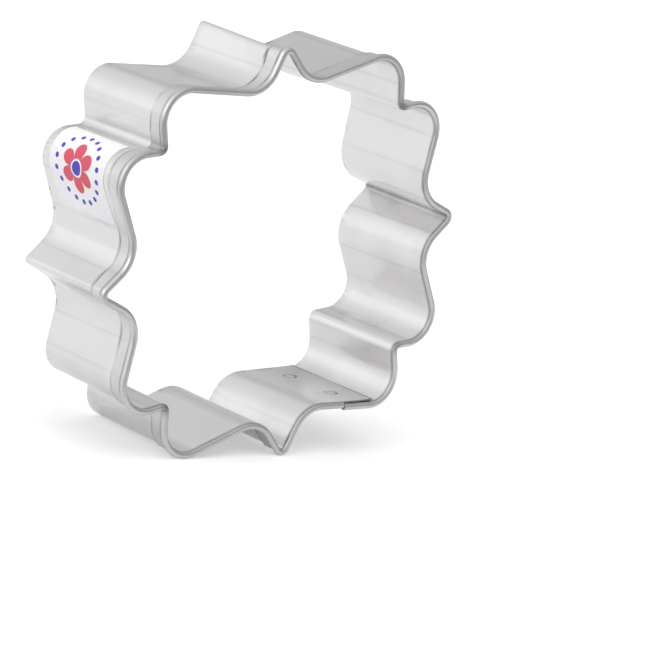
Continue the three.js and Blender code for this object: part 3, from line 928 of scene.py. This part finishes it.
def makeFloor():
    deselectAll()
    bpy.ops.mesh.primitive_plane_add(size=stage["floorSize"], location=(0, 0, 0))
    floor = bpy.context.object
    floor.name = "floor"
    material, nodes, links, shader = newMaterial("paleFloor")
    setInputs(shader, **{"Base Color": stage["floorColour"], "Roughness": stage["floorRough"]})
    rays = nodes.new("ShaderNodeLightPath")
    inMetal = seenInMetal(nodes, links, rays)
    glow = nodes.new("ShaderNodeEmission")
    strength = mathNode(nodes, links, "MULTIPLY", rays.outputs["Is Camera Ray"], stage["floorGlow"])
    strength = mathNode(nodes, links, "MULTIPLY_ADD", inMetal, stage["floorGloss"], strength)
    links.new(strength, glow.inputs["Strength"])
    both = nodes.new("ShaderNodeAddShader")
    links.new(shader.outputs["BSDF"], both.inputs[0])
    links.new(glow.outputs["Emission"], both.inputs[1])

    # distances on the floor towards the camera's side and across it
    place = nodes.new("ShaderNodeTexCoord").outputs["Object"]
    parts = nodes.new("ShaderNodeSeparateXYZ")
    turned = mapped(nodes, links, place, (1, 1, 1), -math.radians(photoView["azimuth"] - 90))
    links.new(turned, parts.inputs["Vector"])
    near = fade(nodes, links, parts.outputs["X"], stage["dimFrom"], stage["dimTo"])
    aside = mathNode(nodes, links, "ABSOLUTE", parts.outputs["Y"])
    # painted shade: a dim emission the metal sees in place of the floor on the camera's side
    paintedDim = nodes.new("ShaderNodeEmission")
    links.new(fade(nodes, links, aside, 0.0, stage["darkHalf"], stage["darkLevel"], stage["dimLevel"]),
              paintedDim.inputs["Strength"])
    sides = nodes.new("ShaderNodeMixShader")
    links.new(mathNode(nodes, links, "MULTIPLY", near, rays.outputs["Is Glossy Ray"]), sides.inputs["Fac"])
    links.new(both.outputs["Shader"], sides.inputs[1])
    links.new(paintedDim.outputs["Emission"], sides.inputs[2])
    links.new(sides.outputs["Shader"], nodes["Material Output"].inputs["Surface"])
    floor.data.materials.append(material)


# a room that is bright on the left, behind and above, greyer on the right and dim behind the camera
def makeRoom():
    world = bpy.data.worlds.new("softRoom")
    bpy.context.scene.world = world
    world.use_nodes = True
    nodes, links = world.node_tree.nodes, world.node_tree.links
    way = nodes.new("ShaderNodeTexCoord").outputs["Generated"]
    parts = nodes.new("ShaderNodeSeparateXYZ")
    links.new(way, parts.inputs["Vector"])
    sideways = nodes.new("ShaderNodeMapRange")
    setInputs(sideways, **{"From Min": -1.0, "From Max": 1.0})
    links.new(parts.outputs["X"], sideways.inputs["Value"])
    ramp = nodes.new("ShaderNodeValToRGB")
    stops = ramp.color_ramp.elements
    while len(stops) < len(stage["room"]):
        stops.new(0.5)
    for stop, (at, share) in zip(stops, stage["room"]):
        stop.position = (at + 1) / 2
        stop.color = (share, share, share, 1)
    links.new(sideways.outputs["Result"], ramp.inputs["Fac"])
    behind = fade(nodes, links, parts.outputs["Y"], stage["frontFrom"], stage["frontTo"], stage["front"], 1.0)
    above = fade(nodes, links, parts.outputs["Z"], stage["ceilingFrom"], stage["ceilingTo"], 0.0,
                 stage["ceiling"])
    behind = mathNode(nodes, links, "MAXIMUM", behind, above)
    # the metal shows the room, the camera sees white, and the rest is lit by an even dome
    rays = nodes.new("ShaderNodeLightPath")
    room = nodes["Background"]
    links.new(ramp.outputs["Color"], room.inputs["Color"])
    links.new(mathNode(nodes, links, "MULTIPLY", behind, stage["roomLevel"]), room.inputs["Strength"])
    plain = nodes.new("ShaderNodeBackground")
    plain.inputs["Color"].default_value = (1, 1, 1, 1)
    level = mathNode(nodes, links, "MULTIPLY_ADD", rays.outputs["Is Camera Ray"], 1 - stage["dome"],
                     stage["dome"])
    links.new(level, plain.inputs["Strength"])
    inMetal = seenInMetal(nodes, links, rays)
    either = nodes.new("ShaderNodeMixShader")
    links.new(inMetal, either.inputs["Fac"])
    links.new(plain.outputs["Background"], either.inputs[1])
    links.new(room.outputs["Background"], either.inputs[2])
    links.new(either.outputs["Shader"], nodes["World Output"].inputs["Surface"])


def makeLamps():
    for name, setting in stage["lamps"].items():
        deselectAll()
        bpy.ops.object.light_add(type="SUN", location=setting["place"])
        lamp = bpy.context.object
        lamp.name = name
        lamp.data.angle = math.radians(setting["spread"])
        lamp.data.energy = setting["power"]
        lamp.visible_glossy = setting["inMetal"]
        lamp.rotation_euler = Vector(setting["place"]).to_track_quat("Z", "Y").to_euler()


def makeCamera():
    v = photoView
    azimuth, elevation = math.radians(v["azimuth"]), math.radians(v["elevation"])
    back = Vector((math.sin(azimuth) * math.cos(elevation), -math.cos(azimuth) * math.cos(elevation),
                   math.sin(elevation)))
    aim = (cadLow + cadHigh) / 2 + Vector(v["aside"])
    data = bpy.data.cameras.new("photoCamera")
    data.lens = v["lens"]
    data.sensor_width = v["sensor"]
    camera = bpy.data.objects.new("photoCamera", data)
    bpy.context.scene.collection.objects.link(camera)
    level = (-back).to_track_quat("-Z", "Y").to_matrix().to_4x4()
    camera.matrix_world = Matrix.Translation(aim + back * v["distance"]) @ level @ Matrix.Rotation(
        math.radians(v["roll"]), 4, "Z")
    bpy.context.scene.camera = camera


makeFloor()
makeRoom()
makeLamps()
makeCamera()
bpy.context.scene.view_settings.view_transform = "Standard"
print("stage set")
